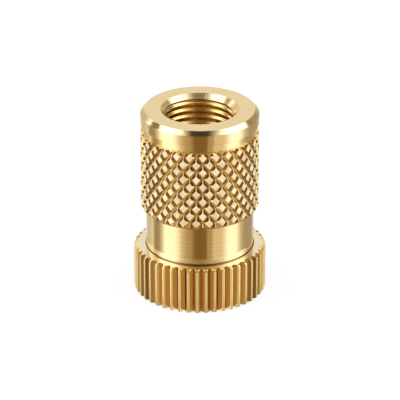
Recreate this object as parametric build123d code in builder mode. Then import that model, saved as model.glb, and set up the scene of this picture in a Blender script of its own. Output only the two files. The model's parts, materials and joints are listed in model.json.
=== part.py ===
from build123d import *

import math
import os

# Knurled nut: a brass insert nut turned, tapped and knurled from one bar.
#
# From the foot up: a flange with a straight knurl, a plain neck, a barrel with a
# diamond knurl, a relief groove, and a plain collar that leads the nut into its
# hole. A countersunk bore runs right through; it is drilled at the minor diameter
# of a G 1/8 pipe thread. The origin is the centre of the foot, and +Z is the axis.

# G 1/8 thread (28 threads per inch) that the bore is drilled for
thread_minor_diameter = 8.566
countersink_diameter = 10.0

# diameters along the bar
flange_diameter = 17.1
neck_diameter = 13.9
barrel_diameter = 15.2
relief_diameter = 14.3

# lengths along the bar, from the foot up
flange_height = 6.1
neck_length = 5.7
barrel_length = 10.15
relief_width = 1.2
collar_height = 1.85

# edges left by the turning tools
foot_chamfer = 0.2
flange_chamfer = 0.35
collar_chamfer = 0.55
neck_fillet = 0.15

# straight knurl on the flange: V grooves with narrow crests between them, one of which
# lies that many degrees round from -Y
flange_teeth = 46
flange_groove_depth = 0.7
flange_groove_angle = 68
flange_knurl_turn = -2.3
flange_clearance = 0.1

# diamond knurl on the barrel: two hands of helical V grooves
knurl_starts = 28
knurl_rows = 5
knurl_groove_depth = 0.42
knurl_groove_width = 0.62
knurl_turn = 3.0

flange_radius = flange_diameter / 2
neck_radius = neck_diameter / 2
barrel_radius = barrel_diameter / 2
relief_radius = relief_diameter / 2
bore_radius = thread_minor_diameter / 2

neck_top = flange_height + neck_length
barrel_top = neck_top + barrel_length
collar_bottom = barrel_top + relief_width
overall_height = collar_bottom + collar_height

countersink_depth = (countersink_diameter - thread_minor_diameter) / 2
barrel_undercut = barrel_radius - neck_radius

# both hands start together below the barrel and run out over the relief groove,
# and each groove climbs one diamond for every start that it passes
diamond_height = barrel_length / knurl_rows
knurl_lead = knurl_starts * diamond_height
knurl_run_in = 0.77 * diamond_height
knurl_run_out = 0.7
knurl_clearance = 0.3


with BuildPart() as knurled_nut:
    # the turned blank, spun from half of its section
    with BuildSketch(Plane.XZ):
        with BuildLine():
            Polyline(
                (bore_radius, countersink_depth),
                (bore_radius + countersink_depth, 0),
                (flange_radius - foot_chamfer, 0),
                (flange_radius, foot_chamfer),
                (flange_radius, flange_height - flange_chamfer),
                (flange_radius - flange_chamfer, flange_height),
                (neck_radius + neck_fillet, flange_height),
            )
            RadiusArc(
                (neck_radius + neck_fillet, flange_height),
                (neck_radius, flange_height + neck_fillet),
                neck_fillet,
            )
            Polyline(
                (neck_radius, flange_height + neck_fillet),
                (neck_radius, neck_top - barrel_undercut),
                (barrel_radius, neck_top),
                (barrel_radius, barrel_top),
                (relief_radius, barrel_top),
                (relief_radius, collar_bottom),
                (barrel_radius, collar_bottom),
                (barrel_radius, overall_height - collar_chamfer),
                (barrel_radius - collar_chamfer, overall_height),
                (bore_radius + countersink_depth, overall_height),
                (bore_radius, overall_height - countersink_depth),
                (bore_radius, countersink_depth),
            )
        make_face()
    revolve(axis=Axis.Z)

# the straight knurl: V grooves down the whole height of the flange
first_groove = flange_knurl_turn - 90 + 180 / flange_teeth
groove_slope = math.tan(math.radians(flange_groove_angle / 2))
half_opening = (flange_groove_depth + flange_clearance) * groove_slope

with BuildPart() as flange_grooves:
    with BuildSketch():
        with PolarLocations(0, flange_teeth, start_angle=first_groove):
            Polygon(
                (flange_radius - flange_groove_depth, 0),
                (flange_radius + flange_clearance, -half_opening),
                (flange_radius + flange_clearance, half_opening),
                align=None,
            )
    extrude(amount=flange_height)

with knurled_nut:
    add(flange_grooves.part, mode=Mode.SUBTRACT)

# the diamond knurl: right-hand grooves, then left-hand ones across them
for left_hand in (False, True):
    groove_path = Helix(
        pitch=knurl_lead,
        height=knurl_run_in + barrel_length + knurl_run_out,
        radius=barrel_radius,
        center=(0, 0, neck_top - knurl_run_in),
        lefthand=left_hand,
    )
    across_groove = Plane(origin=groove_path @ 0, x_dir=(1, 0, 0), z_dir=groove_path % 0)
    with BuildPart() as groove:
        with BuildSketch(across_groove):
            spread = (knurl_groove_depth + knurl_clearance) / knurl_groove_depth
            Polygon(
                (-knurl_groove_depth, 0),
                (knurl_clearance, -spread * knurl_groove_width / 2),
                (knurl_clearance, spread * knurl_groove_width / 2),
                align=None,
            )
        sweep(path=groove_path, is_frenet=True)
    with knurled_nut:
        with PolarLocations(0, knurl_starts, start_angle=knurl_turn):
            add(groove.part, mode=Mode.SUBTRACT)

knurled_nut.part.label = "knurled_nut"

os.makedirs("parts", exist_ok=True)
export_step(knurled_nut.part, "parts/knurled_nut.step")
print("height", round(overall_height, 3), "volume", round(knurled_nut.part.volume, 1))
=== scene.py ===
# %% [markdown]
# # A knurled brass insert nut
# The nut is one piece, turned, tapped and knurled from a brass bar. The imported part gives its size
# and place. Everything that shows is modelled again here as one closed mesh, with rounded edges,
# beveled diamonds and a real thread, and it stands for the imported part.

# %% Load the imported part
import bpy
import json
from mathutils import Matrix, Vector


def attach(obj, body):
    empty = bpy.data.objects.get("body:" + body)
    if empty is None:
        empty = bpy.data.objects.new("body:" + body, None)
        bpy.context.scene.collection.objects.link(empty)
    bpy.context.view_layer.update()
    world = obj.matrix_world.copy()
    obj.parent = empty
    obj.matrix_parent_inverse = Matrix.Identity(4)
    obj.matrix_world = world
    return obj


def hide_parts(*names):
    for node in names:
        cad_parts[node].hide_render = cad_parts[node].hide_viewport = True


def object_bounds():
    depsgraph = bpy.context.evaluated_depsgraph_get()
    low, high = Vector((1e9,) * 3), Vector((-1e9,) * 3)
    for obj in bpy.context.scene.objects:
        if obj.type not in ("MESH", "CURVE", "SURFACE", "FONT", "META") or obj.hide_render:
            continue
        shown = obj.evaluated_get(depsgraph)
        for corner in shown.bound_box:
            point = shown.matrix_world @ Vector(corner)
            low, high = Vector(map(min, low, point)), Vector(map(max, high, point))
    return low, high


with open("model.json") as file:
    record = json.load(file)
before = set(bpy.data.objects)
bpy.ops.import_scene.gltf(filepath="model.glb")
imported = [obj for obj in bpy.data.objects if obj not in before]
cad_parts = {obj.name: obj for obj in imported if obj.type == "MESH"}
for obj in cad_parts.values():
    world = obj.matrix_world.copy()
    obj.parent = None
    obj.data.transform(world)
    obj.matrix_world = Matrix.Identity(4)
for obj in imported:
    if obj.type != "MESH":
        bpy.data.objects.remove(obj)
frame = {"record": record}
cad_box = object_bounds()
print("packed part, in metres:", [round(edge, 5) for corner in cad_box for edge in corner])

# %% Modules
import json
import math
from contextlib import contextmanager

import bmesh
import bpy
from mathutils import Vector

# %% [markdown]
# ## Sizes
# The drawing of the nut is in millimetres, so it is modelled in millimetres too, and brought to
# metres at the very end. The height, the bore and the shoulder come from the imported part. The rest
# are the turner's own sizes.

# %% Sizes along and across the bar
metre = 1000
mounts = {mount["name"]: mount for mount in frame["record"]["mounts"]}
height = (cad_box[1].z - cad_box[0].z) * metre
thread_minor = mounts["thread_bore"]["dims"]["r_mm"]
flange_top = mounts["flange_shoulder"]["pos_m"][2] * metre

flange_radius = 8.55
neck_radius = 6.95
barrel_radius = 7.6
relief_radius = 7.15
countersink_radius = 5.0
neck_top = 11.8
barrel_top = 21.95
collar_bottom = 23.15

# points closer together than this are one point
same = 0.001
print("height", round(height, 3), "thread minor radius", thread_minor, "shoulder at", flange_top)

# %% [markdown]
# ## Working as by hand
# An operator acts on whatever is selected, so each step first takes one object and nothing else.
# These helpers do that, open edit mode and close it again, select edges by where they lie, and
# apply a modifier as soon as it is set.

# %% Helpers for one object at a time
def take(*objects):
    bpy.ops.object.select_all(action="DESELECT")
    for each in objects:
        each.select_set(True)
    bpy.context.view_layer.objects.active = objects[0]


@contextmanager
def editing(piece, everything=False, mode="EDGE"):
    take(piece)
    bpy.ops.object.mode_set(mode="EDIT")
    bpy.ops.mesh.select_mode(type=mode)
    bpy.ops.mesh.select_all(action="SELECT" if everything else "DESELECT")
    yield
    bpy.ops.object.mode_set(mode="OBJECT")


def pick_edges(piece, test):
    """Selects the edges whose two ends both pass the test."""
    mesh = bmesh.from_edit_mesh(piece.data)
    for edge in mesh.edges:
        edge.select = all(test(end.co) for end in edge.verts)
    mesh.select_flush_mode()
    bmesh.update_edit_mesh(piece.data)


def place_selected(piece, rule):
    """Moves each selected point to where the rule sends it."""
    mesh = bmesh.from_edit_mesh(piece.data)
    for point in mesh.verts:
        if point.select:
            point.co = rule(point.co)
    bmesh.update_edit_mesh(piece.data)


def modify(piece, kind, **settings):
    take(piece)
    modifier = piece.modifiers.new(kind, kind)
    for name, value in settings.items():
        setattr(modifier, name, value)
    bpy.ops.object.modifier_apply(modifier=modifier.name)


# %% A line, drawn from point to point
def draw_line(name, points):
    """A chain of edges: a small plane, merged to one point and extruded from place to place."""
    bpy.ops.object.select_all(action="DESELECT")
    bpy.ops.mesh.primitive_plane_add(size=1)
    line = bpy.context.object
    line.name = name
    with editing(line, everything=True, mode="VERT"):
        bpy.ops.mesh.merge(type="CENTER")
        bpy.ops.transform.translate(value=points[0])
        for here, there in zip(points, points[1:]):
            step = {"value": Vector(there) - Vector(here)}
            bpy.ops.mesh.extrude_vertices_move(TRANSFORM_OT_translate=step)
    return line


def rounded(points, radius, steps=3, hold=0.02):
    """The same outline with each inner corner turned into an arc. A further point lies close to
    each end of an arc, at the distance hold, so that the flats beside it shade flat."""
    line = [points[0]]
    for before, corner, after in zip(points, points[1:], points[2:]):
        corner_at = Vector(corner)
        back = (Vector(before) - corner_at).normalized()
        on = (Vector(after) - corner_at).normalized()
        turn = math.pi - back.angle(on)
        reach = radius * math.tan(turn / 2)
        middle = corner_at + (back + on).normalized() * radius / math.cos(turn / 2)
        start = corner_at + back * reach - middle
        side = 1 if back.y * on.x - back.x * on.y > 0 else -1
        arc = []
        for step in range(steps + 1):
            angle = side * turn * step / steps
            arc.append(middle + Vector((
                start.x * math.cos(angle) - start.y * math.sin(angle),
                start.x * math.sin(angle) + start.y * math.cos(angle),
            )))
        if hold:
            arc = [corner_at + back * (reach + hold), *arc, corner_at + on * (reach + hold)]
        line += [(point.x, point.y) for point in arc]
    line.append(points[-1])
    return line


# %% [markdown]
# ## Calculating with shader sockets
# A material is easier to read as a formula than as a net of nodes. This small class wraps a socket,
# so that sockets can be added and multiplied, and one method makes any other node.

# %% Sockets that can be calculated with
class Wire:
    """A socket of a node tree that can be calculated with."""

    def __init__(self, tree, socket=None):
        self.tree = tree
        self.socket = socket

    def add(self, kind, settings=(), inputs=(), output=0):
        node = self.tree.nodes.new(kind)
        for name, value in dict(settings).items():
            setattr(node, name, value)
        for name, value in dict(inputs).items():
            if isinstance(value, Wire):
                self.tree.links.new(value.socket, node.inputs[name])
            else:
                node.inputs[name].default_value = value
        return Wire(self.tree, node.outputs[output] if len(node.outputs) else None)

    def math(self, operation, *values):
        return self.add("ShaderNodeMath", {"operation": operation}, dict(enumerate(values)))

    def __add__(self, other):
        return self.math("ADD", self, other)

    def __sub__(self, other):
        return self.math("SUBTRACT", self, other)

    def __rsub__(self, other):
        return self.math("SUBTRACT", other, self)

    def __mul__(self, other):
        return self.math("MULTIPLY", self, other)

    def __neg__(self):
        return self * -1

    __radd__ = __add__
    __rmul__ = __mul__


def fade(low, high, value):
    """0 below low, 1 above high, and a smooth step between."""
    return value.add(
        "ShaderNodeMapRange", {"interpolation_type": "SMOOTHSTEP"},
        {"Value": value, "From Min": low, "From Max": high},
    )


def band(low, high, soft, value):
    """1 from low to high, fading to 0 over the distance soft on either side."""
    return fade(low - soft, low, value) * (1 - fade(high, high + soft, value))


def mixed(share, color, other):
    """The color where share is 0 and the other where it is 1."""
    return share.add("ShaderNodeMix", {"data_type": "RGBA"}, {0: share, 6: color, 7: other}, 2)


def axes_of(vector):
    return [vector.add("ShaderNodeSeparateXYZ", (), {0: vector}, output) for output in range(3)]


def new_material(name):
    material = bpy.data.materials.new(name)
    material.use_nodes = True
    material.node_tree.nodes.clear()
    return material, Wire(material.node_tree)


# %% [markdown]
# ## Brass
# Fresh brass is a warm metal that looks like what it mirrors. Only the finish is its own, and that
# differs along the bar. The turned faces carry the tool's fine rings, and the faced ends are a
# little duller. On the knurls the wheels press the flanks smooth, while the crowns keep the dull,
# blotchy skin of the blank. The flanks of both knurls and the thread are painted in darker brass,
# as painted shade, and the thread's grooves darker still. The ridges above the crowns that face
# upwards are painted pale and dull, as a painted highlight, and they are told apart by the way they
# face. All else is told apart by the distance from the axis and the height, in millimetres. At the
# neck's foot the corner has a dark line of painted shade. The neck and the flange's top mirror
# each other there, and brass seen in brass looks too orange, so both are painted paler, as
# painted light.

# %% What all the finishes share
brass_color = (0.9, 0.68, 0.34, 1)
streak_color = (0.86, 0.63, 0.29, 1)
painted_corner_shade_color = (0.2, 0.12, 0.045, 1)
painted_pale_color = (0.97, 0.81, 0.52, 1)
face_color = (0.9, 0.68, 0.36, 1)
face_streak_color = (0.86, 0.63, 0.31, 1)
shaded_flank_color = (0.63, 0.42, 0.14, 1)
shaded_groove_line_color = (0.68, 0.45, 0.17, 1)
painted_highlight_color = (1, 0.84, 0.5, 1)
crown_color = (0.98, 0.82, 0.53, 1)
skin_color = (0.78, 0.6, 0.36, 1)
shaded_groove_color = (0.7, 0.46, 0.17, 1)
crest_color = (0.87, 0.64, 0.29, 1)
shaded_thread_color = (0.74, 0.5, 0.19, 1)
painted_root_shade_color = (0.66, 0.4, 0.12, 1)


def around_the_axis(shader):
    """The distance from the axis and the height, in millimetres."""
    at = shader.add("ShaderNodeTexCoord", output="Object")
    x, y, z = axes_of(at)
    return shader.math("SQRT", x * x + y * y) * metre, z * metre


def noise(shader, radius, z, scale):
    """Noise that differs along the section of the bar only, so that it runs round in rings."""
    across = shader.add("ShaderNodeCombineXYZ", (), {0: radius, 1: z})
    return shader.add(
        "ShaderNodeTexNoise", {"noise_dimensions": "2D"},
        {"Vector": across, "Scale": scale, "Detail": 2},
    )


def finish(shader, color, metallic, roughness, relief=None, depth=0):
    inputs = {"Base Color": color, "Metallic": metallic, "Roughness": roughness}
    if relief:
        inputs["Normal"] = shader.add(
            "ShaderNodeBump", (), {"Height": relief, "Strength": 1, "Distance": depth / metre}
        )
    surface = shader.add("ShaderNodeBsdfPrincipled", (), inputs)
    shader.add("ShaderNodeOutputMaterial", (), {"Surface": surface})


# %% Turned faces: fine rings, some of them a little duller
turned, shader = new_material("brass_turned")
radius, z = around_the_axis(shader)
rings = noise(shader, radius, z, 7)
bands = noise(shader, radius, z, 1.3)
streaked = fade(0.35, 0.7, rings)
color = mixed(streaked, brass_color, streak_color)
# painted light: just above the fillet the neck is painted paler, and made duller
above_foot = fade(flange_top + 0.15, flange_top + 0.25, z)
shoulder = above_foot * (1 - fade(flange_top + 0.6, flange_top + 1.1, z))
# painted shade: a dark line round the corner at the neck's foot
corner = band(flange_top - 0.1, flange_top + 0.12, 0.08, z)
color = mixed(shoulder, color, painted_pale_color)
color = mixed(corner, color, painted_corner_shade_color)
dull = 0.05 * streaked + 0.05 * bands + 0.2 * shoulder
finish(shader, color, 1, 0.07 + dull, rings, 0.0008)

# %% Flat faces: the same rings, duller and paler on the ends, smoother on the flange
faced, shader = new_material("brass_faced")
radius, z = around_the_axis(shader)
rings = noise(shader, radius, z, 9)
streaked = fade(0.35, 0.7, rings)
color = mixed(streaked, face_color, face_streak_color)
# painted light: the flange's top is painted paler, and is also smoother and fully metallic
shelf = band(flange_top - 0.5, flange_top + 0.5, 0.5, z)
color = mixed(shelf, color, painted_pale_color)
finish(shader, color, 0.85 + 0.15 * shelf, 0.16 + 0.06 * streaked - 0.09 * shelf, rings, 0.0012)

# %% Diamond knurl: dull crowns on smooth flanks
diamond_brass, shader = new_material("brass_diamonds")
radius, z = around_the_axis(shader)
crown = fade(barrel_radius - 0.06, barrel_radius - 0.03, radius)
# painted shade: flanks and groove bottoms are painted darker brass, the bottoms a little lighter
bottom = 1 - fade(barrel_radius - 0.38, barrel_radius - 0.35, radius)
# painted highlight: facets that face upwards are painted pale and made dull
facing = axes_of(shader.add("ShaderNodeTexCoord", output="Normal"))
painted_top_light = fade(0.55, 0.61, facing[2])
at = shader.add("ShaderNodeTexCoord", output="Object")
blotches = shader.add("ShaderNodeTexNoise", (), {"Vector": at, "Scale": 0.8 * metre, "Detail": 2})
skin = mixed(fade(0.35, 0.65, blotches), crown_color, skin_color)
flanks = mixed(painted_top_light, mixed(bottom, shaded_flank_color, shaded_groove_line_color), painted_highlight_color)
color = mixed(crown, flanks, skin)
dull = 0.6 * painted_top_light + 0.3 * bottom
finish(shader, color, 1 - 0.7 * crown - dull * (1 - crown), 0.13 + 0.37 * crown)

# %% Straight knurl: dull crests on smooth flanks
tooth_brass, shader = new_material("brass_teeth")
radius, z = around_the_axis(shader)
crest = fade(flange_radius - 0.16, flange_radius - 0.03, radius)
# painted shade: below the crests the teeth are painted darker brass
color = mixed(crest, shaded_groove_color, crest_color)
finish(shader, color, 1 - 0.3 * crest, 0.2 + 0.15 * crest)

# %% Thread: cut and smooth, painted darker brass as shade, and darker still in the grooves
thread_brass, shader = new_material("brass_thread")
radius, z = around_the_axis(shader)
# painted shade: the grooves of the thread, further from the axis, are painted darker
root = fade(thread_minor + 0.05, thread_minor + 0.35, radius)
color = mixed(root, shaded_thread_color, painted_root_shade_color)
finish(shader, color, 1, 0.14 + 0.1 * root)


def coat(piece, material):
    piece.data.materials.clear()
    piece.data.materials.append(material)


# %% [markdown]
# ## Turned surfaces
# Everything but the knurls and the thread was cut by a tool fed along a turning bar. Half of the
# section is drawn and spun about the axis. A turned edge is never quite sharp: the tool leaves a
# few hundredths of a millimetre, and that small round is what catches the light.

# %% Spin a section
turn_steps = 336
edge_round = 0.05


def spin_section(name, points):
    piece = draw_line(name, [(radius, 0, z) for radius, z in points])
    with editing(piece, everything=True):
        bpy.ops.mesh.spin(steps=turn_steps, angle=2 * math.pi, center=(0, 0, 0), axis=(0, 0, 1))
        bpy.ops.mesh.select_all(action="SELECT")
        bpy.ops.mesh.remove_doubles(threshold=same)
    return piece


# %% Collar, from the relief groove up to the countersink
collar_chamfer = 0.55
rim_drop = 0.06
collar = spin_section("collar", rounded([
    (relief_radius, barrel_top),
    (relief_radius, collar_bottom),
    (barrel_radius, collar_bottom),
    (barrel_radius, height - collar_chamfer),
    (barrel_radius - collar_chamfer, height),
    (countersink_radius, height),
    (countersink_radius - rim_drop, height - rim_drop),
], edge_round))
coat(collar, turned)
print("collar faces", len(collar.data.polygons))

# %% Neck, from the step under the barrel down to the fillet on the flange
neck_step = 0.05
neck_fillet = 0.15
fillet_steps = 8
edge_hold = 0.02
cone_depth = barrel_radius - neck_radius - neck_step
cone_foot = neck_top - cone_depth
quarter_turn = [math.pi / 2 * step / fillet_steps for step in range(fillet_steps + 1)]
neck = spin_section("neck", [
    (neck_radius + neck_fillet + edge_hold, flange_top),
    *(
        (
            neck_radius + neck_fillet * (1 - math.sin(angle)),
            flange_top + neck_fillet * (1 - math.cos(angle)),
        )
        for angle in quarter_turn
    ),
    (neck_radius, flange_top + neck_fillet + edge_hold),
    (neck_radius, cone_foot - edge_hold),
    (neck_radius, cone_foot),
])
coat(neck, turned)
print("neck faces", len(neck.data.polygons))

# %% [markdown]
# ## Wrapping a strip
# Both knurls are patterns that repeat round the bar. Each is modelled flat, as a strip as long as
# the bar's circumference, where a cone becomes a plane and can be cut with one bisect, and the
# Bend deform wraps it into a ring.

# %% Wrap a flat strip into a ring
def wrap(strip, radius):
    modify(strip, "SIMPLE_DEFORM", deform_method="BEND", deform_axis="Z", angle=2 * math.pi)
    with editing(strip, everything=True):
        bpy.ops.transform.translate(value=(0, -radius, 0))
        bpy.ops.mesh.remove_doubles(threshold=same)


def repeat(piece, count, step):
    modify(
        piece, "ARRAY", count=count, use_relative_offset=False, use_constant_offset=True,
        constant_offset_displace=step, use_merge_vertices=True, merge_threshold=same,
    )


# %% [markdown]
# ## Diamond knurl
# Two hands of V groove cross on the barrel and leave small pyramids with flat tops. A cone with
# four sides is already such a pyramid. Two of them make the pattern's unit, an array repeats it,
# and one bevel over every sharp edge gives the thin bright lines on the ridges and groove bottoms.
# A rolled flank is plane up to its very edge, so all edges are marked sharp after the bevel, and
# the shading of one facet doesn't run into the next.

# %% The unit of the pattern
knurl_starts = 28
knurl_rows = 5
knurl_depth = 0.42
groove_width = 0.62
knurl_turn = math.radians(3.0)
circumference = 2 * math.pi * barrel_radius
diamond_width = circumference / knurl_starts
diamond_height = (barrel_top - neck_top) / knurl_rows
half_across = diamond_width * diamond_height / 2 / math.hypot(diamond_width, diamond_height)
flat_share = 1 - groove_width / 2 / half_across
first_row = neck_top - 0.27 * diamond_height


def add_diamond(x, z):
    bpy.ops.object.select_all(action="DESELECT")
    bpy.ops.mesh.primitive_cone_add(
        vertices=4, radius1=1, radius2=flat_share, depth=knurl_depth,
        location=(x, knurl_depth / 2, z), rotation=(math.pi / 2, 0, 0),
    )
    diamond = bpy.context.object
    diamond.scale = (diamond_width / 2, diamond_height / 2, 1)
    bpy.ops.object.transform_apply(location=True, rotation=True, scale=True)
    with editing(diamond):
        pick_edges(diamond, lambda point: point.y > knurl_depth - same)
        bpy.ops.mesh.delete(type="ONLY_FACE")
    return diamond


first_column = knurl_turn * barrel_radius - circumference / 2 - diamond_width
diamonds = add_diamond(first_column, first_row)
neighbour = add_diamond(first_column + diamond_width / 2, first_row + diamond_height / 2)
take(diamonds, neighbour)
bpy.ops.object.join()
diamonds.name = "diamond_knurl"
print("flat is", round(flat_share * diamond_width, 3), "by", round(flat_share * diamond_height, 3))

# %% The whole strip, beveled and cut to the barrel
strip_columns = knurl_starts + 3
strip_rows = knurl_rows + 3
bevel_width = 0.06

repeat(diamonds, strip_columns, (diamond_width, 0, 0))
repeat(diamonds, strip_rows, (0, 0, diamond_height))
with editing(diamonds, everything=True):
    bpy.ops.transform.translate(value=(0, 0, -diamond_height))
    bpy.ops.mesh.remove_doubles(threshold=same)
    bpy.ops.mesh.select_all(action="DESELECT")
    bpy.ops.mesh.edges_select_sharp(sharpness=math.radians(20))
    bpy.ops.mesh.bevel(offset=bevel_width, segments=3, affect="EDGES")
    bpy.ops.mesh.select_all(action="DESELECT")
    bpy.ops.mesh.edges_select_sharp(sharpness=math.radians(5))
    bpy.ops.mesh.mark_sharp()


def cut_away(piece, point, outward):
    """Cuts the mesh by a plane and drops what lies on the outward side."""
    with editing(piece, everything=True):
        bpy.ops.mesh.bisect(plane_co=point, plane_no=outward, clear_outer=True)


cut_away(diamonds, (circumference / 2, 0, 0), (1, 0, 0))
cut_away(diamonds, (-circumference / 2, 0, 0), (-1, 0, 0))
cut_away(diamonds, (0, 0, barrel_top), (0, 0, 1))
cut_away(diamonds, (0, 0, neck_top), (0, -1, -1))
print("diamond strip faces", len(diamonds.data.polygons))

# %% The cone under the barrel
with editing(diamonds):
    pick_edges(diamonds, lambda point: abs(point.y + point.z - neck_top) < same)
    bpy.ops.mesh.extrude_edges_move()
    foot = (0, cone_depth, neck_top - cone_depth)
    bpy.ops.transform.resize(value=(1, 0, 0), center_override=foot)
wrap(diamonds, barrel_radius)
coat(diamonds, diamond_brass)
print("diamond ring faces", len(diamonds.data.polygons))

# %% [markdown]
# ## Straight knurl on the flange
# The flange's knurl is a row of teeth with rounded crests between V grooves. One tooth is drawn as
# an outline, repeated along a strip, pulled up to the flange's height and wrapped. The chamfer is
# then turned over it: the further out a point of the top edge stands, the lower it is cut, and that
# gives the row of little arches.

# %% The outline of one tooth
flange_teeth = 46
tooth_depth = 0.7
groove_half_angle = math.radians(34)
crest_radius = 0.15
crest_turn = math.radians(-2.3)

tooth_pitch = 2 * math.pi * flange_radius / flange_teeth
crest_half_width = tooth_pitch / 2 - tooth_depth * math.tan(groove_half_angle)
first_crest = crest_turn * flange_radius
tooth_outline = rounded([
    (first_crest - tooth_pitch / 2, tooth_depth),
    (first_crest - crest_half_width, 0),
    (first_crest + crest_half_width, 0),
    (first_crest + tooth_pitch / 2, tooth_depth),
], crest_radius, steps=4, hold=0)
flange = draw_line("flange_knurl", [(x, y, 0) for x, y in tooth_outline])
repeat(flange, flange_teeth, (tooth_pitch, 0, 0))
with editing(flange, everything=True):
    bpy.ops.mesh.extrude_edges_move(TRANSFORM_OT_translate={"value": (0, 0, flange_top)})
wrap(flange, flange_radius)
print("teeth", flange_teeth, "faces", len(flange.data.polygons))

# %% Chamfers over the teeth
flange_chamfer = 0.35
foot_chamfer = 0.2
face_margin = 0.05


def depth_of(point):
    return flange_radius - math.hypot(point.x, point.y)


def moved_in(point, depth, z):
    """The same direction from the axis, at least that deep below the crests, at the height z."""
    share = min(1, (flange_radius - depth) / math.hypot(point.x, point.y))
    return Vector((point.x * share, point.y * share, z))


def chamfer_edge(at_height, chamfer, inwards):
    """Lowers the edge loop at that height onto a 45-degree cone, and runs the cone to the face."""
    with editing(flange):
        pick_edges(flange, lambda point: abs(point.z - at_height) < same)
        place_selected(flange, lambda point: Vector((
            point.x, point.y, at_height + inwards * max(0, chamfer - depth_of(point)),
        )))
        bpy.ops.mesh.extrude_edges_move()
        place_selected(flange, lambda point: moved_in(point, chamfer, at_height))
        bpy.ops.mesh.extrude_edges_move()
        place_selected(flange, lambda point: moved_in(point, chamfer + face_margin, at_height))
        bpy.ops.mesh.select_all(action="SELECT")
        bpy.ops.mesh.remove_doubles(threshold=same)


chamfer_edge(flange_top, flange_chamfer, -1)
chamfer_edge(0, foot_chamfer, 1)
coat(flange, tooth_brass)
print("flange faces", len(flange.data.polygons))

# %% [markdown]
# ## Bore
# The wall of the bore is easiest to model as the space inside it. A screwed profile is the tap, and
# a cone at each end is the countersink. Joined by a union, their skin is the wall, seen from the
# other side. Pitch and minor diameter are the pipe thread's own, but the flanks are drawn gentler
# and the crests rounder than in its standard, so the thread is about half as deep as a true one.
# That is a choice for the look alone: steep mirrors that face each other only show one another.

# %% The tap: one pitch of the thread, screwed along the axis
thread_pitch = 0.907
thread_round = 0.22
thread_half_angle = math.radians(37.5)
thread_turn = math.radians(-30)
thread_steps = 115
sharp_depth = thread_pitch / 2 / math.tan(thread_half_angle)
sharp_crest = thread_minor - thread_round * (1 / math.sin(thread_half_angle) - 1)
mid_flank = sharp_crest + sharp_depth / 2
tap_end = 0.1
tap_turns = int(height / thread_pitch) + 3

thread_profile = rounded([
    (mid_flank, 0),
    (sharp_crest + sharp_depth, thread_pitch / 4),
    (sharp_crest, 3 * thread_pitch / 4),
    (mid_flank, thread_pitch),
], thread_round, steps=4, hold=0)
thread_rise = -thread_pitch * (1 + thread_turn / 2 / math.pi)
tap = draw_line("bore", [(radius, 0, z + thread_rise) for radius, z in thread_profile])
modify(
    tap, "SCREW", axis="Z", angle=2 * math.pi, screw_offset=thread_pitch,
    iterations=tap_turns, steps=thread_steps, render_steps=thread_steps,
)
with editing(tap, everything=True):
    bpy.ops.mesh.remove_doubles(threshold=same)
    bpy.ops.mesh.select_all(action="SELECT")
    bpy.ops.mesh.bisect(
        plane_co=(0, 0, height - tap_end), plane_no=(0, 0, 1), clear_outer=True, use_fill=True
    )
    bpy.ops.mesh.select_all(action="SELECT")
    bpy.ops.mesh.bisect(
        plane_co=(0, 0, tap_end), plane_no=(0, 0, -1), clear_outer=True, use_fill=True
    )
    bpy.ops.mesh.select_all(action="SELECT")
    bpy.ops.mesh.normals_make_consistent(inside=False)
print("tap faces", len(tap.data.polygons))

# %% The countersinks, and the union
countersink_reach = 1.2


def add_countersink(face_z, inwards):
    wide = countersink_radius - rim_drop
    middle = face_z + inwards * (rim_drop + countersink_reach / 2)
    radii = (wide, wide - countersink_reach) if inwards > 0 else (wide - countersink_reach, wide)
    bpy.ops.object.select_all(action="DESELECT")
    bpy.ops.mesh.primitive_cone_add(
        vertices=turn_steps, radius1=radii[0], radius2=radii[1], depth=countersink_reach,
        location=(0, 0, middle),
    )
    sink = bpy.context.object
    bpy.ops.object.transform_apply(location=True)
    return sink


for sink in (add_countersink(0, 1), add_countersink(height, -1)):
    modify(tap, "BOOLEAN", operation="UNION", solver="EXACT", object=sink)
    bpy.data.objects.remove(sink)
with editing(tap, mode="FACE"):
    mesh = bmesh.from_edit_mesh(tap.data)
    for face in mesh.faces:
        from_middle = abs(face.calc_center_median().z - height / 2)
        face.select = from_middle > height / 2 - rim_drop - same
    bmesh.update_edit_mesh(tap.data)
    bpy.ops.mesh.delete(type="FACE")
coat(tap, thread_brass)
print("bore faces", len(tap.data.polygons))

# %% The rim of the countersink in the foot
foot_rim = spin_section("foot_rim", rounded([
    (countersink_radius + 0.2, 0),
    (countersink_radius, 0),
    (countersink_radius - rim_drop, rim_drop),
], edge_round))
coat(foot_rim, turned)

# %% [markdown]
# ## One closed skin
# The stretches now only miss the flat rings between them. All of a ring's edges lie at one height,
# so they are picked by that height and filled. Then the skin is closed, its normals are turned
# outwards, and it is brought to metres.

# %% Join the stretches and fill the flat rings
take(collar, neck, diamonds, flange, tap, foot_rim)
bpy.ops.object.join()
nut = collar
nut.name = "turned_nut"
with editing(nut, everything=True):
    bpy.ops.mesh.remove_doubles(threshold=0.0001)


def fill_ring(z):
    with editing(nut):
        mesh = bmesh.from_edit_mesh(nut.data)
        for edge in mesh.edges:
            edge.select = edge.is_boundary and all(abs(end.co.z - z) < same for end in edge.verts)
        mesh.select_flush_mode()
        bmesh.update_edit_mesh(nut.data)
        bpy.ops.mesh.fill()


for z in (0, flange_top, cone_foot, barrel_top):
    fill_ring(z)
with editing(nut, everything=True):
    bpy.ops.mesh.normals_make_consistent(inside=False)
    mesh = bmesh.from_edit_mesh(nut.data)
    open_edges = sum(not edge.is_manifold for edge in mesh.edges)
    volume = mesh.calc_volume()


def on_countersink(point):
    from_face = min(point.z, height - point.z)
    return abs(math.hypot(point.x, point.y) + from_face - countersink_radius) < 0.02


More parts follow.
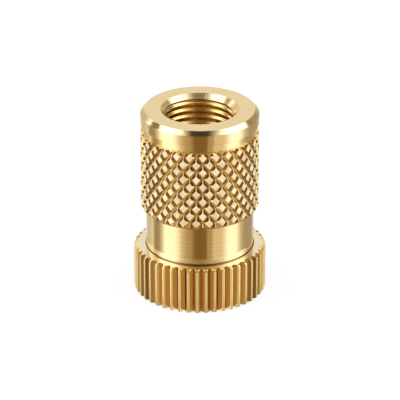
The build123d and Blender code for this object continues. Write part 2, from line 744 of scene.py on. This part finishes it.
nut.data.materials.append(faced)
for face in nut.data.polygons:
    if abs(face.normal.z) > 0.99 or on_countersink(face.center):
        face.material_index = len(nut.data.materials) - 1
print("open edges", open_edges, "volume", round(volume, 1), "faces", len(nut.data.polygons))

with editing(nut, everything=True):
    bpy.ops.transform.resize(value=(1 / metre,) * 3, center_override=(0, 0, 0))
take(nut)
bpy.ops.object.shade_smooth_by_angle(angle=math.radians(50))
modify(nut, "WEIGHTED_NORMAL", mode="FACE_AREA", weight=100, keep_sharp=True)

# %% [markdown]
# ## Studio
# The nut stands on a white floor that runs out of sight. A metal shows its surroundings, so they
# are made with care, in three rings painted on the world by azimuth and elevation, which only
# mirrors see. Low down is the table, seen by the upright walls. Above it stand a large soft box on
# each side and a pale wall behind the nut, with a dim front between the boxes. The ceiling is
# bright to the sides and straight overhead, and under the nut it is a warm dark, a painted shadow
# of the nut on the table. Dull faces need light of their own, and get it from one wide lamp in
# front.

# %% Soft boxes round the nut
world = bpy.data.worlds.new("studio")
bpy.context.scene.world = world
world.use_nodes = True
world.node_tree.nodes.clear()
sky = Wire(world.node_tree)
away = sky.add("ShaderNodeTexCoord", output="Generated")
right, back, up = axes_of(away)
azimuth = sky.math("ARCTAN2", right, -back) * (180 / math.pi)


def warm(level, degrees):
    """What is dark is brown in front of the nut and grey behind it, and what is bright is white."""
    share = min(level, 1.25)
    share += max(0, 1 - level) * (degrees / 180) ** 2
    return (level, level * (0.56 + 0.44 * share), level * share, 1)


def ring(wall, *things):
    """A wall round the nut, and things in front of it that each hide the ones named before. A thing
    fades in from start to left and out from right to end, in degrees from the front."""
    light = warm(wall, 180)
    for start, left, right, end, level in things:
        share = fade(start, left, azimuth) * (1 - fade(right, end, azimuth))
        light = mixed(share, light, warm(level, abs(left + right) / 2))
    return light


table = ring(
    0.9,
    (-90, -60, 60, 90, 0.8),        # the table top between the boxes
    (-90, -78, -58, -35, 1.4),      # the foot of the left box
    (45, 68, 80, 100, 1.4),         # the foot of the right box
    (-122, -112, -102, -82, 0.4),   # the gap behind the left box
    (85, 115, 140, 180, 0.45),      # the gap behind the right box
    (-165, -150, -135, -120, 0.7),  # a duller stretch of the wall
    (-45, -22, 25, 30, 0.5),        # the dim front
    (-22, -8, 13, 18, 0.23),        # the dark middle of the front
)
boxes = ring(
    0.8,
    (-60, -30, 35, 60, 0.3),        # the dim front
    (-150, -115, -64, -42, 2.6),    # the left box
    (50, 78, 112, 118, 2.6),        # the right box
    (-121, -117, -102, -97, 0.25),  # a gap in the left box
    (112, 117, 120, 165, 0.25),     # the gap behind the right box
)
ceiling = ring(
    0.04,
    (-158, -132, -64, -25, 1.5),  # the left panel
    (25, 75, 132, 158, 1.5),      # the right panel
)
overhead_color = (1.1, 1.05, 1, 1)
# painted shadow: straight down the world is a warm dark, the nut's shadow on the table
underfoot_shadow_color = (0.24, 0.17, 0.09, 1)

# the rings from the lowest to the highest, told apart by the sine of the elevation
surroundings = mixed(fade(-0.95, -0.6, up), underfoot_shadow_color, table)
surroundings = mixed(fade(0.3, 0.6, up), surroundings, boxes)
surroundings = mixed(fade(0.8, 0.92, up), surroundings, ceiling)
surroundings = mixed(fade(0.95, 0.985, up), surroundings, overhead_color)
looked_at = sky.add("ShaderNodeLightPath", output="Is Camera Ray")
seen = mixed(looked_at, surroundings, (1, 1, 1, 1))
light = sky.add("ShaderNodeBackground", (), {"Color": seen, "Strength": 1})
sky.add("ShaderNodeOutputWorld", (), {"Surface": light})

# %% A wide lamp in front, for the dull faces only
bpy.ops.object.light_add(type="SUN", rotation=(math.radians(50), 0, 0))
lamp = bpy.context.object
lamp.name = "front_lamp"
lamp.data.energy = 1.1
lamp.data.angle = math.radians(60)
lamp.visible_glossy = False

# %% The white floor
bpy.ops.mesh.primitive_circle_add(vertices=64, radius=3, fill_type="NGON")
floor = bpy.context.object
floor.name = "floor"
floor.visible_glossy = False
floor.visible_shadow = False
paper, shader = new_material("white_paper")
shaded = shader.add("ShaderNodeBsdfDiffuse", (), {"Color": (1, 1, 1, 1)})
white = shader.add("ShaderNodeEmission", (), {"Color": (1, 1, 1, 1), "Strength": 1})
whitened = shader.add("ShaderNodeMixShader", (), {0: 0.8, 1: shaded, 2: white})
clear = shader.add("ShaderNodeBsdfTransparent")
facing = shader.add("ShaderNodeNewGeometry", output="Backfacing")
both = shader.add("ShaderNodeMixShader", (), {0: facing, 1: whitened, 2: clear})
shader.add("ShaderNodeOutputMaterial", (), {"Surface": both})
floor.data.materials.append(paper)

# %% Camera
camera_elevation = math.radians(25.62)
camera_distance = 0.3616
aim = Vector((0.00003, 0, 0.01207))
bpy.ops.object.camera_add(rotation=(math.pi / 2 - camera_elevation, 0, 0))
camera = bpy.context.object
camera.name = "camera"
camera.location = aim + camera_distance * Vector(
    (0, -math.cos(camera_elevation), math.sin(camera_elevation))
)
camera.data.lens = 252
camera.data.sensor_width = 36
camera.data.clip_start = 0.01
camera.data.clip_end = 10
bpy.context.scene.camera = camera
bpy.context.scene.view_settings.view_transform = "Standard"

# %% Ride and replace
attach(nut, "root")
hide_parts("knurled_nut")
